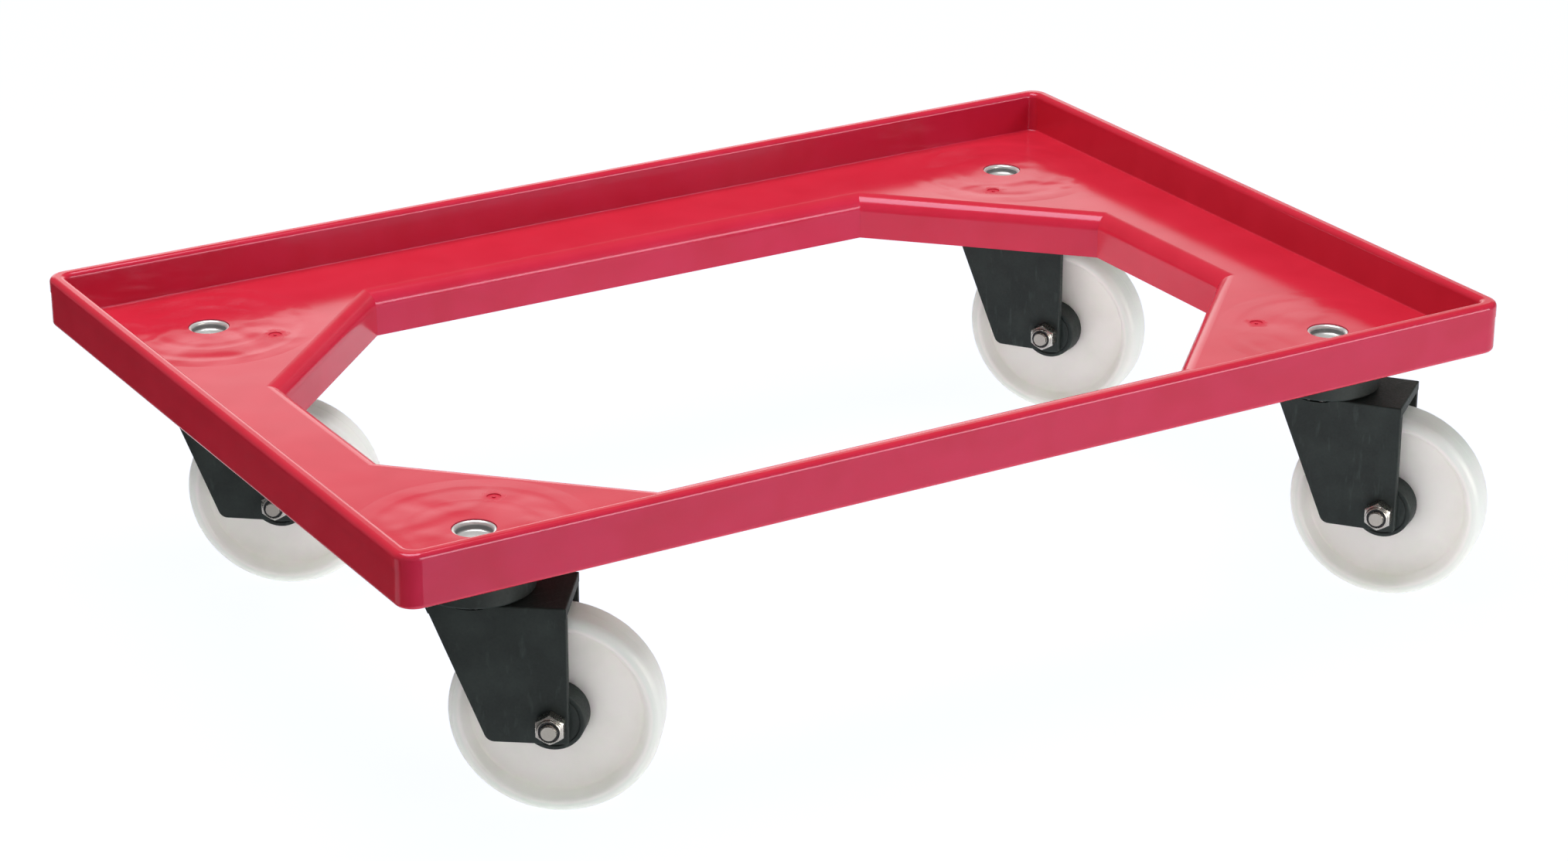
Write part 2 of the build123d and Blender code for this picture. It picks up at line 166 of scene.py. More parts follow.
class DollyFastenerSettings(bpy.types.PropertyGroup):
    """Sizes of the axle bolts and lock nuts."""

    flats: length_property("Across flats", "Spanner size of the nut and the bolt head", 13 * MM)
    grip: length_property("Grip", "Over both legs of the fork", 41 * MM)
    bolt_radius: length_property("Bolt radius", "Over the thread", 4 * MM)
    pitch: length_property("Pitch", "From one turn of the thread to the next", 1.25 * MM)
    head_height: length_property("Head", "Height of the bolt's head", 5.3 * MM)
    hexagon_height: length_property("Nut hexagon", "Height of the nut's six flats", 6.4 * MM)
    collar_height: length_property("Nut collar", "Height of the round collar on the nut", 1.6 * MM)
    collar_radius: length_property("Nut collar radius", "Outside of that collar", 5.9 * MM)
    stand: length_property("Bolt end", "How far the bolt stands out of the nut", 1.6 * MM)
    steel_colour: colour_property("Steel", "Colour of the stainless steel", "#cfccc6")
    pin_colour: colour_property("Pins", "Blasted steel of the king pins", "#e8e8e6")
    # painted shade: darker steel on the cup's wall, standing in for its shade and the dark it reflects
    pin_wall_shade_colour: colour_property("Pin walls", "The same steel on the wall of the cup", "#7a7b7b")


class DollyStudioSettings(bpy.types.PropertyGroup):
    """Camera and light of the studio."""

    camera_place: FloatVectorProperty(
        name="Camera", description="Where the camera stands", subtype="TRANSLATION", unit="LENGTH",
        default=(-0.9941, -1.6698, 0.8806),
    )
    camera_turn: FloatVectorProperty(
        name="Camera turn", description="How the camera is turned", subtype="EULER", unit="ROTATION",
        default=(math.radians(67.646), math.radians(-0.05), math.radians(-30.994)),
    )
    lens: FloatProperty(name="Lens", description="Focal length on a 36 mm wide sensor", unit="CAMERA", default=92.99)
    key_power: FloatProperty(name="Key light", description="Large soft light overhead", unit="POWER", default=46.0)
    fill_power: FloatProperty(
        name="Fill light", description="Soft light from the front right", unit="POWER", default=15.0
    )
    ambient: FloatProperty(name="Ambient", description="Light of the white room", min=0, default=0.18)
    floor_glow: FloatProperty(
        name="Floor glow", description="Light that the white floor throws up at the dolly", min=0, default=0.72
    )


# Node helpers and materials


def add_node(tree, kind, settings=None, inputs=None):
    """Add a node, set its options, and set its inputs or link them to a socket or to a node's first output."""
    node = tree.nodes.new(kind)
    for name, value in (settings or {}).items():
        setattr(node, name, value)
    for key, value in (inputs or {}).items():
        if isinstance(value, bpy.types.Node):
            value = value.outputs[0]
        if isinstance(value, bpy.types.NodeSocket):
            tree.links.new(value, node.inputs[key])
        else:
            node.inputs[key].default_value = value
    return node


def new_material(name):
    """An empty node material, and the helper that adds nodes to it."""
    material = bpy.data.materials.new(name)
    material.use_nodes = True
    material.node_tree.nodes.clear()
    return material, partial(add_node, material.node_tree)


def finished(material, shader):
    """The material, with a shader on its surface."""
    add_node(material.node_tree, "ShaderNodeOutputMaterial", inputs={"Surface": shader})
    return material


def single_shader(name, kind, inputs):
    """A studio material of one plain shader."""
    material, add = new_material(name)
    return finished(material, add(kind, inputs=inputs))


def fill_ramp(ramp, stops):
    """Give a colour ramp its stops, as pairs of a position and a linear colour."""
    while len(ramp.elements) < len(stops):
        ramp.elements.new(1.0)
    for element, (position, colour) in zip(ramp.elements, stops):
        element.position = position
        element.color = rgba(colour)


def red_moulded_abs(settings):
    """ABS, injection moulded against polished steel: a bright gloss, with sinks and soft dents in the deck where
    the castor seats stand behind it, dull gate marks, hairlines where crates have slid and painted shade underneath."""
    material, add = new_material("red_moulded_abs")
    coordinates = add("ShaderNodeTexCoord").outputs
    position = coordinates["Object"]
    wander, ripple, crumbs = (
        add("ShaderNodeTexNoise", inputs={"Vector": position, "Scale": 1 / size, "Detail": 2.0})
        for size in (30 * MM, 70 * MM, 4 * MM)
    )

    # the four corners are alike, so the pattern is worked out once, on folded coordinates
    apart = add("ShaderNodeSeparateXYZ", inputs={"Vector": position})
    sides = add("ShaderNodeVectorMath", {"operation": "ABSOLUTE"}, {0: position})
    folded = add("ShaderNodeVectorMath", {"operation": "MULTIPLY"}, {0: sides, 1: (1, 1, 0)})
    pin = (SWIVEL_PLACE.x, SWIVEL_PLACE.y, 0)
    distance = add("ShaderNodeVectorMath", {"operation": "DISTANCE"}, {0: folded, 1: pin})

    # sinks over the two seat rings, as a height along the distance from the king pin
    sink_reach = 60 * MM
    along = add("ShaderNodeMath", {"operation": "DIVIDE"}, {0: distance.outputs["Value"], 1: sink_reach})
    wandering = add("ShaderNodeMath", {"operation": "MULTIPLY_ADD"}, {0: wander, 1: 0.06, 2: along})
    wandered = add("ShaderNodeMath", {"operation": "SUBTRACT"}, {0: wandering, 1: 0.03})
    sinks = add("ShaderNodeValToRGB", inputs={"Fac": wandered})
    sinks.color_ramp.interpolation = "B_SPLINE"
    heights = ((8, 0.7), (18, 0.85), (25, 0.8), (30, 0.25), (36, 0.4), (41, 0.3), (45, 0.2), (49, 0.8), (57, 0.85))
    fill_ramp(sinks.color_ramp, [(radius * MM / sink_reach, (height,) * 3) for radius, height in heights])

    # soft dents near the pin, where the thick seat shrank unevenly
    dents = add(
        "ShaderNodeTexNoise", inputs={"Vector": position, "Scale": 1 / (27 * MM), "Detail": 1.0, "Distortion": 0.4}
    )
    near = add(
        "ShaderNodeMapRange", inputs={"Value": along, "From Min": 0.55, "From Max": 0.95, "To Min": 1.0, "To Max": 0.0}
    )
    # the seats at the back sank more than those in front
    uneven = add(
        "ShaderNodeMapRange",
        inputs={"Value": apart.outputs["Y"], "From Min": -0.15, "From Max": 0.15, "To Min": 0.5, "To Max": 1.4},
    )
    dented = add("ShaderNodeMath", {"operation": "MULTIPLY"}, {0: dents, 1: near})
    blotches = add("ShaderNodeMath", {"operation": "MULTIPLY"}, {0: dented, 1: uneven})
    sunken = add("ShaderNodeMath", {"operation": "MULTIPLY"}, {0: sinks.outputs["Color"], 1: uneven})
    hairline_way = add(
        "ShaderNodeMapping",
        inputs={
            "Vector": position, "Rotation": (0, 0, math.radians(24)),
            "Scale": (1 / (90 * MM), 1 / (1.4 * MM), 1 / (40 * MM)),
        },
    )
    hairlines = add("ShaderNodeTexNoise", inputs={"Vector": hairline_way, "Scale": 1.0, "Detail": 2.0})
    rubbed = add(
        "ShaderNodeMapRange",
        inputs={"Value": hairlines, "From Min": 0.6, "From Max": 0.78, "To Min": 0.0, "To Max": 1.0},
    )

    marks = add(
        "ShaderNodeMapRange", inputs={"Value": dents, "From Min": 0.35, "From Max": 0.75, "To Min": 0.0, "To Max": 0.4}
    )
    # painted light: the faces that look along Y are a little bluer than the deck, standing in for bluish light from the
    # front
    facing = add("ShaderNodeSeparateXYZ", inputs={"Vector": coordinates["Normal"]})
    front_light_share = add("ShaderNodeMath", {"operation": "MULTIPLY"}, {0: facing.outputs["Y"], 1: facing.outputs["Y"]})
    clean = add(
        "ShaderNodeMix", {"data_type": "RGBA"},
        {"Factor": front_light_share, 6: rgba(settings.frame_colour), 7: rgba(settings.frame_wall_light_colour)},
    )
    worn = add(
        "ShaderNodeMix", {"data_type": "RGBA"},
        {"Factor": marks, 6: clean.outputs[2], 7: rgba(settings.frame_worn_colour)},
    )
    # painted shade: the faces that look down are painted a dull grey, standing in for the shade under the frame
    shade_below = add(
        "ShaderNodeMapRange",
        inputs={"Value": facing.outputs["Z"], "From Min": -0.99, "From Max": -0.92, "To Min": 1.0, "To Max": 0.0},
    )
    colour = add(
        "ShaderNodeMix", {"data_type": "RGBA"},
        {"Factor": shade_below, 6: worn.outputs[2], 7: rgba(settings.frame_underside_shade_colour)},
    )
    gloss = add(
        "ShaderNodeMapRange", inputs={"Value": ripple, "From Min": 0.3, "From Max": 0.7, "To Min": 0.12, "To Max": 0.19}
    )
    scratched = add("ShaderNodeMath", {"operation": "MULTIPLY_ADD"}, {0: rubbed, 1: 0.06, 2: gloss})
    # the gate marks are broken off and dull
    gate = (GATE_PLACE.x, GATE_PLACE.y, 0)
    gate_distance = add("ShaderNodeVectorMath", {"operation": "DISTANCE"}, {0: folded, 1: gate})
    ragged = add(
        "ShaderNodeMath", {"operation": "MULTIPLY_ADD"}, {0: crumbs, 1: 8 * MM, 2: gate_distance.outputs["Value"]}
    )
    roughness = add(
        "ShaderNodeMapRange",
        inputs={"Value": ragged, "From Min": 6 * MM, "From Max": 11 * MM, "To Min": 0.6, "To Max": scratched},
    )
    slow = add("ShaderNodeBump", inputs={"Strength": 0.5, "Distance": 0.5 * MM, "Height": ripple})
    met = add("ShaderNodeBump", inputs={"Strength": 0.8, "Distance": 1.2 * MM, "Height": blotches, "Normal": slow})
    sunk = add(
        "ShaderNodeBump", inputs={"Strength": 0.8, "Distance": settings.sink_depth, "Height": sunken, "Normal": met}
    )
    shader = add(
        "ShaderNodeBsdfPrincipled",
        inputs={
            "Base Color": colour.outputs[2], "Roughness": roughness, "IOR": 1.53, "Specular IOR Level": 0.44,
            "Specular Tint": (0.74, 0.78, 1.0, 1.0), "Normal": sunk,
        },
    )
    return finished(material, shader)


def black_filled_nylon(settings):
    """Nylon filled with glass fibre, moulded: dark satin with the fine grain of the fibres and dull scuffs.
    The grain is drawn at 1.2 mm, coarser than the fibres, so that it shows."""
    material, add = new_material("black_filled_nylon")
    position = add("ShaderNodeTexCoord").outputs["Object"]
    grain = add("ShaderNodeTexNoise", inputs={"Vector": position, "Scale": 1 / (1.2 * MM), "Detail": 4.0})
    clouds = add("ShaderNodeTexNoise", inputs={"Vector": position, "Scale": 1 / (18 * MM), "Detail": 4.0})
    scuff_way = add(
        "ShaderNodeMapping",
        inputs={
            "Vector": position, "Rotation": (math.radians(35), 0, math.radians(50)),
            "Scale": (1 / (26 * MM), 1 / (2.2 * MM), 1 / (14 * MM)),
        },
    )
    scuffs = add("ShaderNodeTexNoise", inputs={"Vector": scuff_way, "Scale": 1.0, "Detail": 3.0})
    rubbed = add(
        "ShaderNodeMapRange", inputs={"Value": scuffs, "From Min": 0.56, "From Max": 0.74, "To Min": 0.0, "To Max": 0.6}
    )
    faded = add(
        "ShaderNodeMapRange", inputs={"Value": clouds, "From Min": 0.4, "From Max": 0.75, "To Min": 0.0, "To Max": 0.35}
    )
    dull = add("ShaderNodeMath", {"operation": "MAXIMUM"}, {0: rubbed, 1: faded})
    colour = add(
        "ShaderNodeMix", {"data_type": "RGBA"},
        {"Factor": dull, 6: rgba(settings.fork_colour), 7: rgba(settings.fork_scuff_colour)},
    )
    roughness = add(
        "ShaderNodeMapRange", inputs={"Value": grain, "From Min": 0.3, "From Max": 0.7, "To Min": 0.52, "To Max": 0.68}
    )
    height = add("ShaderNodeBump", inputs={"Strength": 0.35, "Distance": 0.12 * MM, "Height": grain})
    shader = add(
        "ShaderNodeBsdfPrincipled",
        inputs={
            "Base Color": colour.outputs[2], "Roughness": roughness, "IOR": 1.5, "Specular IOR Level": 0.38,
            "Normal": height,
        },
    )
    return finished(material, shader)


def natural_nylon(settings):
    """Unfilled nylon in its natural white, moulded thick: milky, because light goes over a centimetre into it,
    with a soft gloss and a little grey from the floor."""
    material, add = new_material("natural_nylon")
    position = add("ShaderNodeTexCoord").outputs["Object"]
    clouds = add("ShaderNodeTexNoise", inputs={"Vector": position, "Scale": 1 / (22 * MM), "Detail": 4.0})
    specks = add("ShaderNodeTexNoise", inputs={"Vector": position, "Scale": 1 / (1.6 * MM), "Detail": 3.0})
    soil = add(
        "ShaderNodeMapRange", inputs={"Value": clouds, "From Min": 0.42, "From Max": 0.78, "To Min": 0.0, "To Max": 0.8}
    )
    outer = add("ShaderNodeAttribute", {"attribute_name": "outer_ring"})
    # painted light: the outer ring gets the cooler white that offsets the red light from the frame
    clean = add(
        "ShaderNodeMix", {"data_type": "RGBA"},
        {"Factor": outer.outputs["Fac"], 6: rgba(settings.wheel_colour), 7: rgba(settings.wheel_ring_light_colour)},
    )
    colour = add(
        "ShaderNodeMix", {"data_type": "RGBA"},
        {"Factor": soil, 6: clean.outputs[2], 7: rgba(settings.wheel_soil_colour)},
    )
    roughness = add(
        "ShaderNodeMapRange", inputs={"Value": specks, "From Min": 0.3, "From Max": 0.7, "To Min": 0.3, "To Max": 0.46}
    )
    height = add("ShaderNodeBump", inputs={"Strength": 0.15, "Distance": 0.1 * MM, "Height": specks})
    shader = add(
        "ShaderNodeBsdfPrincipled",
        inputs={
            "Base Color": colour.outputs[2], "Roughness": roughness, "IOR": 1.53, "Subsurface Weight": 1.0,
            "Subsurface Radius": (0.9, 1.0, 0.9), "Subsurface Scale": 14 * MM, "Normal": height,
        },
    )
    return finished(material, shader)


def white_acetal():
    """Acetal, turned from rod: whiter and slicker than the nylon, with the faint rings of the tool."""
    material, add = new_material("white_acetal")
    position = add("ShaderNodeTexCoord").outputs["Object"]
    rings = add("ShaderNodeTexNoise", inputs={"Vector": position, "Scale": 1 / (0.9 * MM), "Detail": 2.0})
    roughness = add(
        "ShaderNodeMapRange", inputs={"Value": rings, "From Min": 0.3, "From Max": 0.7, "To Min": 0.22, "To Max": 0.4}
    )
    shader = add(
        "ShaderNodeBsdfPrincipled", inputs={"Base Color": rgba(linear("#e9e8e4")), "Roughness": roughness, "IOR": 1.48}
    )
    return finished(material, shader)


def dark_nylon_ring():
    """Dyed nylon, pressed into the nut and cut by the thread: matt and nearly black."""
    material, add = new_material("dark_nylon_ring")
    position = add("ShaderNodeTexCoord").outputs["Object"]
    burrs = add("ShaderNodeTexNoise", inputs={"Vector": position, "Scale": 1 / (0.5 * MM), "Detail": 2.0})
    height = add("ShaderNodeBump", inputs={"Strength": 0.4, "Distance": 0.1 * MM, "Height": burrs})
    shader = add(
        "ShaderNodeBsdfPrincipled",
        inputs={"Base Color": rgba(linear("#202328")), "Roughness": 0.6, "IOR": 1.53, "Normal": height},
    )
    return finished(material, shader)


def stainless_steel(settings):
    """Stainless steel, cold formed: bright, with the slow waves of forming and fine handling marks."""
    material, add = new_material("stainless_steel")
    position = add("ShaderNodeTexCoord").outputs["Object"]
    forming = add("ShaderNodeTexNoise", inputs={"Vector": position, "Scale": 1 / (5 * MM), "Detail": 2.0})
    handling = add("ShaderNodeTexNoise", inputs={"Vector": position, "Scale": 1 / (0.7 * MM), "Detail": 4.0})
    bright = add(
        "ShaderNodeMapRange",
        inputs={"Value": handling, "From Min": 0.3, "From Max": 0.7, "To Min": 0.2, "To Max": 0.32},
    )
    sawn = add("ShaderNodeAttribute", {"attribute_name": "sawn"})
    roughness = add("ShaderNodeMath", {"operation": "MULTIPLY_ADD"}, {0: sawn.outputs["Fac"], 1: 0.4, 2: bright})
    height = add("ShaderNodeBump", inputs={"Strength": 0.2, "Distance": 0.2 * MM, "Height": forming})
    shader = add(
        "ShaderNodeBsdfPrincipled",
        inputs={"Base Color": rgba(settings.steel_colour), "Metallic": 1.0, "Roughness": roughness, "Normal": height},
    )
    return finished(material, shader)


def drawn_steel(settings):
    """Stainless steel, deep drawn and blasted: pale and satin, with faint rings left by the drawing."""
    material, add = new_material("drawn_stainless_steel")
    position = add("ShaderNodeTexCoord").outputs["Object"]
    levels = add(
        "ShaderNodeMapping", inputs={"Vector": position, "Scale": (1 / (30 * MM), 1 / (30 * MM), 1 / (0.8 * MM))}
    )
    rings = add("ShaderNodeTexNoise", inputs={"Vector": levels, "Scale": 1.0, "Detail": 2.0})
    roughness = add(
        "ShaderNodeMapRange", inputs={"Value": rings, "From Min": 0.3, "From Max": 0.7, "To Min": 0.26, "To Max": 0.34}
    )
    # painted shade: the cup's wall, between its lip and its floor, is painted darker, standing in for its shade and the
    # dark it reflects
    level = add("ShaderNodeSeparateXYZ", inputs={"Vector": position})
    wall_foot, wall_top = PIN_HIGH.z - 4.2 * MM, PIN_HIGH.z - 1.0 * MM
    up_the_cup = add(
        "ShaderNodeMapRange", inputs={"Value": level.outputs["Z"], "From Min": wall_foot, "From Max": wall_top}
    )
    wall = add("ShaderNodeValToRGB", inputs={"Fac": up_the_cup})
    pale, dark = settings.pin_colour, settings.pin_wall_shade_colour
    fill_ramp(wall.color_ramp, ((0.0, pale), (0.25, dark), (0.7, dark), (1.0, pale)))
    shader = add(
        "ShaderNodeBsdfPrincipled",
        inputs={"Base Color": wall.outputs["Color"], "Metallic": 0.6, "Roughness": roughness},
    )
    return finished(material, shader)


def dress(material, nodes):
    """Give CAD nodes a material."""
    for node in nodes:
        mesh = frame["nodes"][node].data
        mesh.materials.clear()
        mesh.materials.append(material)


# Geometry Nodes, and what turns their result into a piece

LATHE_RADIUS = 1.0
SHOULDER_STEPS = 8  # points on each of the two arcs of a wheel's shoulder
PIN_SEGMENTS = 96
WELD = 1e-6  # points nearer than this are one
SHARP_ANGLE = math.radians(32)  # edges that turn more than this stay sharp


def open_tree(name, numbers):
    """A node tree that takes an outline, a material and named numbers, the helper that adds nodes to it, and the
    sockets that it is given."""
    tree = bpy.data.node_groups.new(name, "GeometryNodeTree")
    tree.interface.new_socket("Outline", in_out="INPUT", socket_type="NodeSocketGeometry")
    for label, value in numbers.items():
        kind = "NodeSocketInt" if isinstance(value, int) else "NodeSocketFloat"
        tree.interface.new_socket(label, in_out="INPUT", socket_type=kind).default_value = value
    tree.interface.new_socket("Material", in_out="INPUT", socket_type="NodeSocketMaterial")
    tree.interface.new_socket("Piece", in_out="OUTPUT", socket_type="NodeSocketGeometry")
    add = partial(add_node, tree)
    return tree, add, add("NodeGroupInput").outputs


def close_tree(add, given, skin):
    """End a node tree with a real mesh in the given material."""
    real = add("GeometryNodeRealizeInstances", inputs={0: skin})
    made = add("GeometryNodeSetMaterial", inputs={"Geometry": real, "Material": given["Material"]})
    add("NodeGroupOutput", inputs={0: made})


def turned_tree():
    """Turn an outline round the Z axis, each corner rounded by the radius that its point carries."""
    tree, add, given = open_tree("turned_piece", {"Segments": 96, "Rounding steps": 6})
    corner = add("GeometryNodeInputNamedAttribute", {"data_type": "FLOAT"}, {"Name": "corner_radius"})
    outline = add("GeometryNodeMeshToCurve", inputs={"Mesh": given["Outline"]})
    rounded = add(
        "GeometryNodeFilletCurve", {"mode": "POLY"},
        {
            "Curve": outline, "Count": given["Rounding steps"], "Radius": corner.outputs["Attribute"],
            "Limit Radius": True,
        },
    )
    # the outline lies one lathe radius inside the path, so that its own radii come out true
    path = add("GeometryNodeCurvePrimitiveCircle", inputs={"Resolution": given["Segments"], "Radius": LATHE_RADIUS})
    skin = add("GeometryNodeCurveToMesh", inputs={"Curve": path, "Profile Curve": rounded})
    close_tree(add, given, skin)
    return tree


def thread_tree():
    """Wind a thread's ridge up the Z axis."""
    numbers = {"Root radius": 3.4 * MM, "Depth": 0.6 * MM, "Pitch": 1.25 * MM, "Length": 8 * MM}
    tree, add, given = open_tree("wound_thread", numbers)
    turns = add("ShaderNodeMath", {"operation": "DIVIDE"}, {0: given["Length"], 1: given["Pitch"]})
    path = add(
        "GeometryNodeCurveSpiral",
        inputs={
            "Resolution": 40, "Rotations": turns, "Start Radius": given["Root radius"],
            "End Radius": given["Root radius"], "Height": given["Length"],
        },
    )
    ridge = add("GeometryNodeCurvePrimitiveCircle", inputs={"Resolution": 4, "Radius": given["Depth"]})
    skin = add("GeometryNodeCurveToMesh", inputs={"Curve": path, "Profile Curve": ridge, "Fill Caps": True})
    close_tree(add, given, skin)
    return tree


def grown(tree, outline, values):
    """What a node tree makes of an outline, as a plain mesh."""
    holder = bpy.data.objects.new("holder", outline)
    bpy.context.scene.collection.objects.link(holder)
    modifier = holder.modifiers.new("nodes", "NODES")
    modifier.node_group = tree
    for item in tree.interface.items_tree:
        if item.in_out == "INPUT" and item.name in values:
            modifier[item.identifier] = values[item.name]
    evaluated = holder.evaluated_get(bpy.context.evaluated_depsgraph_get())
    mesh = bpy.data.meshes.new_from_object(evaluated)
    holder.modifiers.clear()
    bpy.data.objects.remove(holder)
    return mesh


def outline_mesh(*loops, ring_start=1.0):
    """Closed outlines for the lathe, from (radius, height along the axis, corner radius) points. Points beyond
    ring_start are marked as the outer ring, for the material."""
    points = []
    edges = []
    corners = []
    ring_marks = []
    for loop in loops:
        first = len(points)
        for radius, height, corner in loop:
            points.append((radius - LATHE_RADIUS, -height, 0))
            corners.append(corner)
            ring_marks.append(float(radius > ring_start))
        edges += [(first + index, first + (index + 1) % len(loop)) for index in range(len(loop))]
    mesh = bpy.data.meshes.new("outline")
    mesh.from_pydata(points, edges, [])
    mesh.attributes.new("corner_radius", "FLOAT", "POINT").data.foreach_set("value", corners)
    mesh.attributes.new("outer_ring", "FLOAT", "POINT").data.foreach_set("value", ring_marks)
    return mesh


def mirrored(loop):
    """The same outline on the other side of the wheel's middle."""
    return [(radius, -height, corner) for radius, height, corner in loop]


def shoulder_point(size, turn, rounding):
    """A point on a wheel's round shoulder, for the lathe, turned from the rim's side towards the tread."""
    foot = size.radius - size.shoulder
    return foot + rounding * math.sin(turn), size.width / 2 - size.shoulder + rounding * math.cos(turn), 0.0


def place(meshes, name, body, node, matrix):
    """Join finished meshes into one piece that stands for a CAD node, moves with its body, and lies at a matrix."""
    shape = bmesh.new()
    for mesh in meshes:
        shape.from_mesh(mesh)
    bmesh.ops.remove_doubles(shape, verts=shape.verts, dist=WELD)
    bmesh.ops.recalc_face_normals(shape, faces=shape.faces)
    joined = bpy.data.meshes.new(name)
    shape.to_mesh(joined)
    shape.free()
    joined.materials.append(meshes[0].materials[0])
    joined.shade_smooth()
    joined.set_sharp_from_angle(angle=SHARP_ANGLE)
    joined.transform(matrix)
    piece = bpy.data.objects.new(name, joined)
    bpy.context.scene.collection.objects.link(piece)
    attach(piece, body)
    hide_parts(node)


def axle_matrix(castor):
    """The axle's frame: Z along the axle towards the nut, Y up, origin in the wheel's middle."""
    joint = JOINTS[f"{castor}_roll"]
    axle = Vector(joint["axis"]).normalized()
    across = UP.cross(axle)
    matrix = Matrix((across, UP, axle)).transposed().to_4x4()
    matrix.translation = Vector(joint["pos_m"])
    return matrix


def place_on_axles(meshes, name, group, node):
    """Place a piece on every castor's axle, on a body of that castor and for a CAD node of it."""
    for castor in CASTORS:
        place(meshes, f"{castor}_{name}", f"{castor}_{group}", f"{castor}_{node}", axle_matrix(castor))


# Hexagons: rings of points with the spanner flats, cut by the cone of the chamfer

RING_POINTS = 96
CHAMFER_ANGLE = math.radians(30)
CHAMFER_SHARES = (0.0, 0.2, 0.4, 0.6, 0.8, 1.0)


def ring(height, limit, flats=None):
    """One ring of points round the Z axis, either round or with six flats, a corner of them upright."""
    points = []
    for index in range(RING_POINTS):
        angle = math.tau * index / RING_POINTS
        radius = limit
        if flats:
            to_flat = (angle + math.pi / 6) % (math.pi / 3) - math.pi / 6
            radius = min(limit, flats / 2 / math.cos(to_flat))
        points.append((radius * math.cos(angle), radius * math.sin(angle), height))
    return points


def chamfered_ends(bottom, top, flats, land):
    """Rings of a hexagon between two heights, its corners cut by a cone that leaves a round land at each end."""
    corner = flats / 2 / math.cos(math.pi / 6)
    drop = (corner - land) * math.tan(CHAMFER_ANGLE)
    low = [ring(bottom + share * drop, land + share * (corner - land), flats) for share in CHAMFER_SHARES]
    high = [ring(top - share * drop, land + share * (corner - land), flats) for share in reversed(CHAMFER_SHARES)]
    return low + high


def lofted(rings, material, closed):
    """A skin through rings of points: closed on itself where the piece has a bore, else capped at both ends."""
    count = len(rings[0])
    points = [point for loop in rings for point in loop]
    faces = []
    for level in range(len(rings) if closed else len(rings) - 1):
        low = level * count
        high = (level + 1) % len(rings) * count
        for index in range(count):
            after = (index + 1) % count
            faces.append((low + index, low + after, high + after, high + index))
    if not closed:
        faces.append(tuple(reversed(range(count))))
        faces.append(tuple(range(len(points) - count, len(points))))
    mesh = bpy.data.meshes.new("lofted")
    mesh.from_pydata(points, [], faces)
    mesh.materials.append(material)
    return mesh


# Operators, one for each piece or group of like pieces

SENSOR_WIDTH = 36.0
LAMP_TARGET = Vector((0, 0, 0.1))
REFLECTIONS_ONLY = ("camera", "diffuse", "shadow")  # kinds of ray that miss the cards made for reflections


class DOLLY_OT_frame(bpy.types.Operator):
    """Finish the moulded frame"""

    bl_idname = "dolly.frame"
    bl_label = "Frame"

    def execute(self, context):
        dress(red_moulded_abs(context.scene.dolly_moulding), ["frame"])
        return {"FINISHED"}


class DOLLY_OT_forks(bpy.types.Operator):
    """Finish the forks and the swivel collars above them"""

    bl_idname = "dolly.forks"
    bl_label = "Forks and Collars"

    def execute(self, context):
        black = black_filled_nylon(context.scene.dolly_moulding)
        dress(black, [f"{castor}_{piece}" for castor in CASTORS for piece in ("fork", "swivel_collar")])
        return {"FINISHED"}


class DOLLY_OT_bearings(bpy.types.Operator):
    """Finish the balls, washers, bushes and sleeves of the swivels and axles"""

    bl_idname = "dolly.bearings"
    bl_label = "Bearings"

    def execute(self, context):
        steel = stainless_steel(context.scene.dolly_fasteners)
        acetal = white_acetal()
        ring_nylon = dark_nylon_ring()
        for castor in CASTORS:
            dress(steel, [f"{castor}_{piece}" for piece in ("bearing_balls", "axle_sleeve")])
            dress(acetal, [f"{castor}_{piece}" for piece in ("thrust_washer", "swivel_bush")])
            dress(ring_nylon, [f"{castor}_nut_ring"])
        return {"FINISHED"}


class DOLLY_OT_pins(bpy.types.Operator):
    """Draw the king pins: tubes with a flared lip and a closed floor, flanged at the foot"""

    bl_idname = "dolly.pins"
    bl_label = "King Pins"

    def execute(self, context):
        size = context.scene.dolly_pins
        floor_thickness, flare_height, flange_thickness = 1.5 * MM, 1.8 * MM, 1.3 * MM
        floor = size.top - size.cup_depth
        under = floor - floor_thickness
        shoulder = size.top - flare_height
        flange = size.bottom + flange_thickness
        outline = [
            (0.0, floor, 0.0),
            (size.bore, floor, 1.2 * MM),
            (size.bore, size.top, 1.35 * MM),
            (size.flare_radius, size.top, 0.12 * MM),
            (size.flare_radius, shoulder, 0.1 * MM),
            (size.radius, shoulder, 0.1 * MM),
            (size.radius, flange, 0.0),
            (size.flange_radius, flange, 0.3 * MM),
            (size.flange_radius, size.bottom, 0.3 * MM),
            (size.bore, size.bottom, 0.2 * MM),
            (size.bore, under, 0.3 * MM),
            (0.0, under, 0.0),
        ]
        steel = drawn_steel(context.scene.dolly_fasteners)
        values = {"Segments": PIN_SEGMENTS, "Rounding steps": 7, "Material": steel}
        mesh = grown(turned_tree(), outline_mesh(outline), values)
        for castor in CASTORS:
            across, away, _ = JOINTS[f"{castor}_swivel"]["pos_m"]
            matrix = Matrix.Translation((across, away, 0))
            place([mesh], f"{castor}_drawn_pin", "base", f"{castor}_king_pin", matrix)
        return {"FINISHED"}


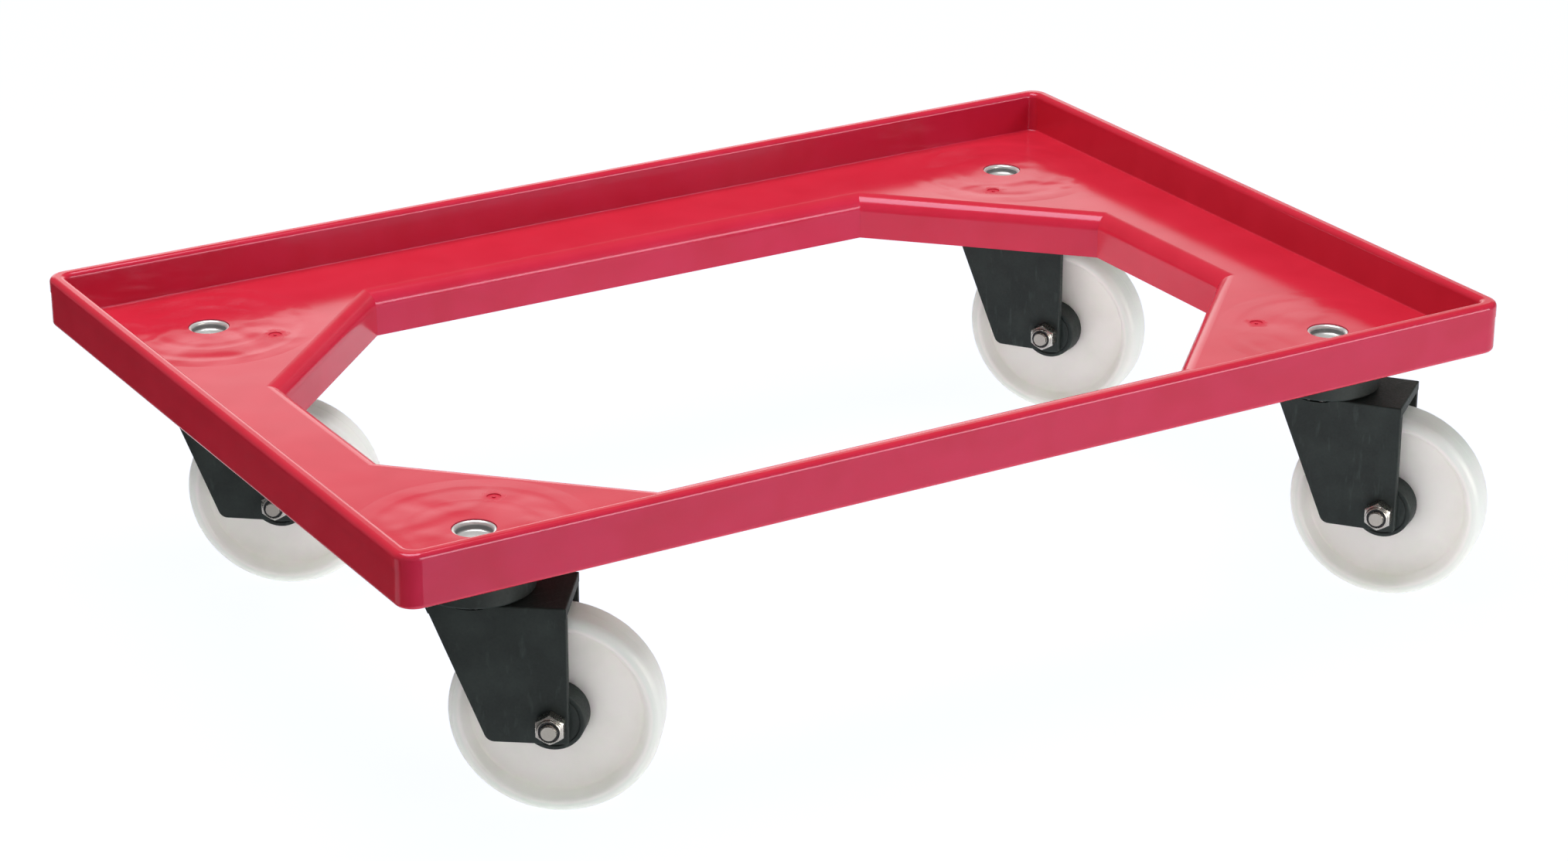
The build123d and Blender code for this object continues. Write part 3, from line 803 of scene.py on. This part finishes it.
class DOLLY_OT_wheels(bpy.types.Operator):
    """Mould the wheels: a rim with round edges, a web set well back, and the mould's fine lines"""

    bl_idname = "dolly.wheels"
    bl_label = "Wheels"

    def execute(self, context):
        size = context.scene.dolly_wheels
        side = size.width / 2
        bore = size.bush_radius + FIT
        inside = size.radius - size.rim
        parting = 0.3 * MM  # half the width of the fine groove round the middle of the tread
        half = [
            (bore, size.web / 2, 0.3 * MM),
            (inside - size.rim_slope, size.web / 2, size.web_fillet),
            (inside + size.rim_slope, side - size.mould_step, size.lip),
        ]
        for index in range(SHOULDER_STEPS):
            # the arc towards the tread stands out from the arc towards the side by the mould's fine step
            turn = size.mould_angle * index / (SHOULDER_STEPS - 1)
            half.append(shoulder_point(size, turn, size.shoulder - size.mould_step))
        for index in range(SHOULDER_STEPS):
            turn = size.mould_angle + (math.pi / 2 - size.mould_angle) * index / (SHOULDER_STEPS - 1)
            half.append(shoulder_point(size, turn, size.shoulder))
        half.append((size.radius, parting, 0.1 * MM))
        outline = half + [(size.radius - parting / 2, 0.0, 0.1 * MM)] + mirrored(half)[::-1]
        material = natural_nylon(context.scene.dolly_moulding)
        values = {"Segments": size.segments, "Rounding steps": 9, "Material": material}
        mesh = grown(turned_tree(), outline_mesh(outline, ring_start=inside + size.rim_slope), values)
        place_on_axles([mesh], "moulded_wheel", "wheel_group", "wheel")
        return {"FINISHED"}


class DOLLY_OT_bushes(bpy.types.Operator):
    """Mould the hub bushes, with rounded flanges and their fine groove"""

    bl_idname = "dolly.bushes"
    bl_label = "Hub Bushes"

    def execute(self, context):
        size = context.scene.dolly_wheels
        hub = size.web / 2
        groove, groove_width, groove_depth, taper = 13 * MM, 0.8 * MM, 0.6 * MM, 1 * MM
        outline = [
            (size.bush_bore, hub - size.spigot, 0.3 * MM),
            (size.bush_bore, size.bush_end, 0.4 * MM),
            (groove - groove_width, size.bush_end, 0.15 * MM),
            (groove - groove_width, size.bush_end - groove_depth, 0.15 * MM),
            (groove, size.bush_end - groove_depth, 0.15 * MM),
            (groove, size.bush_end, 0.15 * MM),
            (size.flange_radius - taper, size.bush_end, 0.9 * MM),
            (size.flange_radius, hub, 0.3 * MM),
            (size.bush_radius, hub, 0.2 * MM),
            (size.bush_radius, hub - size.spigot, 0.4 * MM),
        ]
        material = black_filled_nylon(context.scene.dolly_moulding)
        values = {"Segments": size.segments, "Rounding steps": 4, "Material": material}
        mesh = grown(turned_tree(), outline_mesh(outline, mirrored(outline)), values)
        place_on_axles([mesh], "moulded_bushes", "wheel_group", "hub_bushes")
        return {"FINISHED"}


class DOLLY_OT_nuts(bpy.types.Operator):
    """Form the lock nuts: chamfered hexagons below a domed collar"""

    bl_idname = "dolly.nuts"
    bl_label = "Lock Nuts"

    def execute(self, context):
        size = context.scene.dolly_fasteners
        foot = size.grip / 2
        shelf = foot + size.hexagon_height
        top = shelf + size.collar_height
        bore = size.bolt_radius + FIT
        pocket = bore + 1.05 * MM  # room for the locking ring
        pocket_floor = top - 2.4 * MM
        land = size.flats * 0.47
        rings = chamfered_ends(foot, shelf, size.flats, land)
        # the collar: a small fillet at its foot, then a dome turned in over the locking ring
        rings += [
            ring(shelf, size.collar_radius + 0.2 * MM),
            ring(shelf + 0.25 * MM, size.collar_radius),
            ring(top - 0.75 * MM, size.collar_radius - 0.05 * MM),
            ring(top - 0.35 * MM, size.collar_radius - 0.2 * MM),
            ring(top - 0.1 * MM, size.collar_radius - 0.4 * MM),
            ring(top, size.collar_radius - 0.6 * MM),
            ring(top - 0.1 * MM, pocket),
            ring(pocket_floor, pocket),
            ring(pocket_floor, bore),
            ring(foot + 0.4 * MM, bore),
            ring(foot, bore + 0.4 * MM),
        ]
        mesh = lofted(rings, stainless_steel(size), closed=True)
        place_on_axles([mesh], "formed_nut", "fork_group", "lock_nut")
        return {"FINISHED"}


class DOLLY_OT_bolts(bpy.types.Operator):
    """Form the axle bolts: a chamfered head, a plain shank and a wound thread at the nut's end"""

    bl_idname = "dolly.bolts"
    bl_label = "Axle Bolts"

    def execute(self, context):
        size = context.scene.dolly_fasteners
        head_top = -size.grip / 2 - size.head_height
        seat = -size.grip / 2
        end = size.grip / 2 + size.hexagon_height + size.collar_height + size.stand
        thread_start = seat + size.grip * 0.97
        thread_rest = 0.9 * MM  # plain end beyond the last turn
        depth = size.pitch * 0.34
        root = size.bolt_radius - depth - 0.02 * MM
        land = size.flats * 0.46
        # a shallow dimple in the head, then the hexagon
        rings = [ring(head_top + 0.25 * MM, size.flats * 0.3), ring(head_top, size.flats * 0.36)]
        rings += chamfered_ends(head_top, seat, size.flats, land)
        rings += [
            ring(seat, size.bolt_radius),
            ring(thread_start - 1 * MM, size.bolt_radius),
            ring(thread_start, root),
            ring(end - 0.2 * MM, root),
            ring(end, root - 0.1 * MM),
            ring(end, root - 0.2 * MM),
        ]
        steel = stainless_steel(size)
        shank = lofted(rings, steel, closed=False)
        sawn = [0.0] * (len(rings) - 1) * RING_POINTS + [1.0] * RING_POINTS
        shank.attributes.new("sawn", "FLOAT", "POINT").data.foreach_set("value", sawn)
        length = end - thread_start - thread_rest
        values = {"Root radius": root, "Depth": depth, "Pitch": size.pitch, "Length": length, "Material": steel}
        thread = grown(thread_tree(), bpy.data.meshes.new("empty"), values)
        thread.transform(Matrix.Translation((0, 0, thread_start)))
        place_on_axles([shank, thread], "formed_bolt", "fork_group", "axle_bolt")
        return {"FINISHED"}


class DOLLY_OT_studio(bpy.types.Operator):
    """Set up the white floor, the light and the camera"""

    bl_idname = "dolly.studio"
    bl_label = "Studio"

    def execute(self, context):
        settings = context.scene.dolly_studio
        scene = context.scene
        scene.view_settings.view_transform = "Standard"

        camera = bpy.data.objects.new("camera", bpy.data.cameras.new("camera"))
        scene.collection.objects.link(camera)
        camera.data.lens = settings.lens
        camera.data.sensor_width = SENSOR_WIDTH
        camera.data.sensor_fit = "HORIZONTAL"
        camera.location = settings.camera_place
        camera.rotation_euler = settings.camera_turn
        scene.camera = camera

        # pale floor: near white to the camera, with the dolly's own faint shadow
        material, add = new_material("white_studio_floor")
        path = add("ShaderNodeLightPath")
        matt = add("ShaderNodeBsdfDiffuse", inputs={"Color": (0.85, 0.85, 0.85, 1)})
        # the floor throws light up at the dolly
        glow = add(
            "ShaderNodeMath", {"operation": "MULTIPLY"}, {0: path.outputs["Is Diffuse Ray"], 1: settings.floor_glow}
        )
        bounce = add("ShaderNodeEmission", inputs={"Color": (1, 1, 1, 1), "Strength": glow})
        lit = add("ShaderNodeAddShader", inputs={0: matt, 1: bounce})
        white = add("ShaderNodeEmission", inputs={"Color": (0.97, 1.0, 1.12, 1), "Strength": 1.05})
        seen = add("ShaderNodeMath", {"operation": "MULTIPLY"}, {0: path.outputs["Is Camera Ray"], 1: 0.93})
        # in reflections the floor darkens to the left, as the front wall does in the photo
        position = add("ShaderNodeTexCoord").outputs["Object"]
        apart = add("ShaderNodeSeparateXYZ", inputs={"Vector": position})
        brighter = add(
            "ShaderNodeMapRange",
            inputs={"Value": apart.outputs["X"], "From Min": -0.5, "From Max": 0.25, "To Min": 0.15, "To Max": 0.43},
        )
        glossy = add("ShaderNodeMath", {"operation": "MULTIPLY"}, {0: path.outputs["Is Glossy Ray"], 1: brighter})
        shown = add("ShaderNodeMath", {"operation": "ADD"}, {0: seen, 1: glossy})
        mixed = add("ShaderNodeMixShader", inputs={0: shown, 1: lit, 2: white})
        finished(material, mixed)
        self.card("studio_floor", (-6, -6), (6, 6), 0.0, material)

        # grey card on the floor at the left, black in reflections: it keeps the left wall deep red
        material, add = new_material("grey_studio_card")
        path = add("ShaderNodeLightPath")
        matt = add("ShaderNodeBsdfDiffuse", inputs={"Color": (0.7, 0.7, 0.7, 1)})
        black = add("ShaderNodeBsdfDiffuse", inputs={"Color": (0.01, 0.01, 0.01, 1)})
        mixed = add("ShaderNodeMixShader", inputs={0: path.outputs["Is Glossy Ray"], 1: matt, 2: black})
        finished(material, mixed)
        card = self.card("studio_card", (-1.8, -1.6), (-0.36, 1.6), 2 * MM, material, ("camera", "shadow"))

        # white backdrop behind the dolly, seen in reflections only: the sheen on the deck
        material, add = new_material("white_studio_backdrop")
        position = add("ShaderNodeTexCoord").outputs["Object"]
        apart = add("ShaderNodeSeparateXYZ", inputs={"Vector": position})
        fading = add(
            "ShaderNodeMapRange", {"interpolation_type": "SMOOTHSTEP"},
            {"Value": apart.outputs["Z"], "From Min": 1.25, "From Max": 2.15, "To Min": 1.75, "To Max": 0.0},
        )
        aside = add(
            "ShaderNodeMapRange",
            inputs={"Value": apart.outputs["X"], "From Min": 1.8, "From Max": 2.6, "To Min": 1.0, "To Max": 0.55},
        )
        strength = add("ShaderNodeMath", {"operation": "MULTIPLY"}, {0: fading, 1: aside})
        white = add("ShaderNodeEmission", inputs={"Color": (1, 1, 0.96, 1), "Strength": strength})
        finished(material, white)
        backdrop = self.card("studio_backdrop", (-2.2, 0), (2.2, 2.15), 0.0, material, REFLECTIONS_ONLY)
        standing = Matrix.Rotation(math.radians(90), 4, "X")
        turned = Matrix.Rotation(math.radians(-31), 4, "Z")
        backdrop.data.transform(Matrix.Translation((1.8, 3.0, 0)) @ turned @ standing)

        # strip light in front, seen in reflections only: the fine line along the front rim
        lamp_light = {"Color": (1, 0.95, 0.85, 1), "Strength": 8.0}
        material = single_shader("white_studio_strip", "ShaderNodeEmission", lamp_light)
        strip = self.card("studio_strip", (0.0, 0.05), (1.9, 0.75), 0.0, material, REFLECTIONS_ONLY)
        strip.data.transform(Matrix.Translation((0, -1.9, 0)) @ standing)

        # pale card at the left, seen in reflections only: the line beside the front corner
        card_light = {"Color": (1, 0.9, 0.9, 1), "Strength": 0.7}
        material = single_shader("pale_studio_card", "ShaderNodeEmission", card_light)
        side = self.card("studio_side", (-0.75, -0.14), (-0.45, 0.02), 4 * MM, material, REFLECTIONS_ONLY)

        # black card in front of the corner, seen in reflections only: the dark band down the corner
        material = single_shader("black_studio_card", "ShaderNodeBsdfDiffuse", {"Color": (0.01, 0.01, 0.01, 1)})
        flag = self.card("studio_flag", (-0.4, -1.6), (-0.2, -0.4), 3 * MM, material, REFLECTIONS_ONLY)

        world = bpy.data.worlds.new("white_studio")
        scene.world = world
        world.use_nodes = True
        world.node_tree.nodes.clear()
        add = partial(add_node, world.node_tree)
        path = add("ShaderNodeLightPath")
        room = add("ShaderNodeBackground", inputs={"Color": (1, 1, 1, 1), "Strength": settings.ambient})
        paper = add("ShaderNodeBackground", inputs={"Color": (1, 1, 1.03, 1), "Strength": 1.0})
        shown = add(
            "ShaderNodeMath", {"operation": "MAXIMUM"},
            {0: path.outputs["Is Camera Ray"], 1: path.outputs["Is Transmission Ray"]},
        )
        mixed = add("ShaderNodeMixShader", inputs={0: shown, 1: room, 2: paper})
        add("ShaderNodeOutputWorld", inputs={"Surface": mixed})

        for name, power, length, width, spot in (
            ("key_light", settings.key_power, 1.36, 1.6, Vector((-0.28, 0.1, 2.1))),
            ("fill_light", settings.fill_power, 1.5, 0.3, Vector((1.55, -1.75, 1.5))),
        ):
            light = bpy.data.lights.new(name, "AREA")
            light.shape = "RECTANGLE"
            light.energy = power
            light.size = length
            light.size_y = width
            lamp = bpy.data.objects.new(name, light)
            lamp.location = spot
            lamp.rotation_euler = (LAMP_TARGET - spot).to_track_quat("-Z", "Y").to_euler()
            lamp.visible_glossy = name == "key_light"
            scene.collection.objects.link(lamp)
        return {"FINISHED"}

    def card(self, name, low, high, height, material, missed_by=()):
        """A flat card between two corners, level with the floor, which some kinds of ray miss."""
        mesh = bpy.data.meshes.new(name)
        corners = [(low[0], low[1]), (high[0], low[1]), (high[0], high[1]), (low[0], high[1])]
        mesh.from_pydata([(x, y, height) for x, y in corners], [], [(0, 1, 2, 3)])
        mesh.materials.append(material)
        card = bpy.data.objects.new(name, mesh)
        bpy.context.scene.collection.objects.link(card)
        for ray in missed_by:
            setattr(card, f"visible_{ray}", False)
        return card


class DOLLY_PT_panel(bpy.types.Panel):
    """Lists the pieces and their settings"""

    bl_idname = "DOLLY_PT_panel"
    bl_label = "Crate Dolly"
    bl_space_type = "VIEW_3D"
    bl_region_type = "UI"
    bl_category = "Dolly"

    def draw(self, context):
        for operator in OPERATORS:
            self.layout.operator(operator.bl_idname)
        for name, group in SETTINGS.items():
            for setting in group.__annotations__:
                self.layout.prop(getattr(context.scene, name), setting)


OPERATORS = (
    DOLLY_OT_studio,
    DOLLY_OT_frame,
    DOLLY_OT_forks,
    DOLLY_OT_bearings,
    DOLLY_OT_pins,
    DOLLY_OT_wheels,
    DOLLY_OT_bushes,
    DOLLY_OT_nuts,
    DOLLY_OT_bolts,
)
SETTINGS = {
    "dolly_moulding": DollyMouldingSettings,
    "dolly_pins": DollyPinSettings,
    "dolly_wheels": DollyWheelSettings,
    "dolly_fasteners": DollyFastenerSettings,
    "dolly_studio": DollyStudioSettings,
}


def register():
    """Register the classes and hang the settings on the scene."""
    for name, group in SETTINGS.items():
        bpy.utils.register_class(group)
        setattr(bpy.types.Scene, name, PointerProperty(type=group))
    for operator in OPERATORS:
        bpy.utils.register_class(operator)
    bpy.utils.register_class(DOLLY_PT_panel)


def unregister():
    """Undo register."""
    bpy.utils.unregister_class(DOLLY_PT_panel)
    for operator in reversed(OPERATORS):
        bpy.utils.unregister_class(operator)
    for name, group in reversed(SETTINGS.items()):
        delattr(bpy.types.Scene, name)
        bpy.utils.unregister_class(group)


def main():
    """Build everything in order."""
    register()
    bpy.ops.dolly.studio()
    bpy.ops.dolly.frame()
    bpy.ops.dolly.forks()
    bpy.ops.dolly.bearings()
    bpy.ops.dolly.pins()
    bpy.ops.dolly.wheels()
    bpy.ops.dolly.bushes()
    bpy.ops.dolly.nuts()
    bpy.ops.dolly.bolts()


if __name__ == "__main__":
    main()
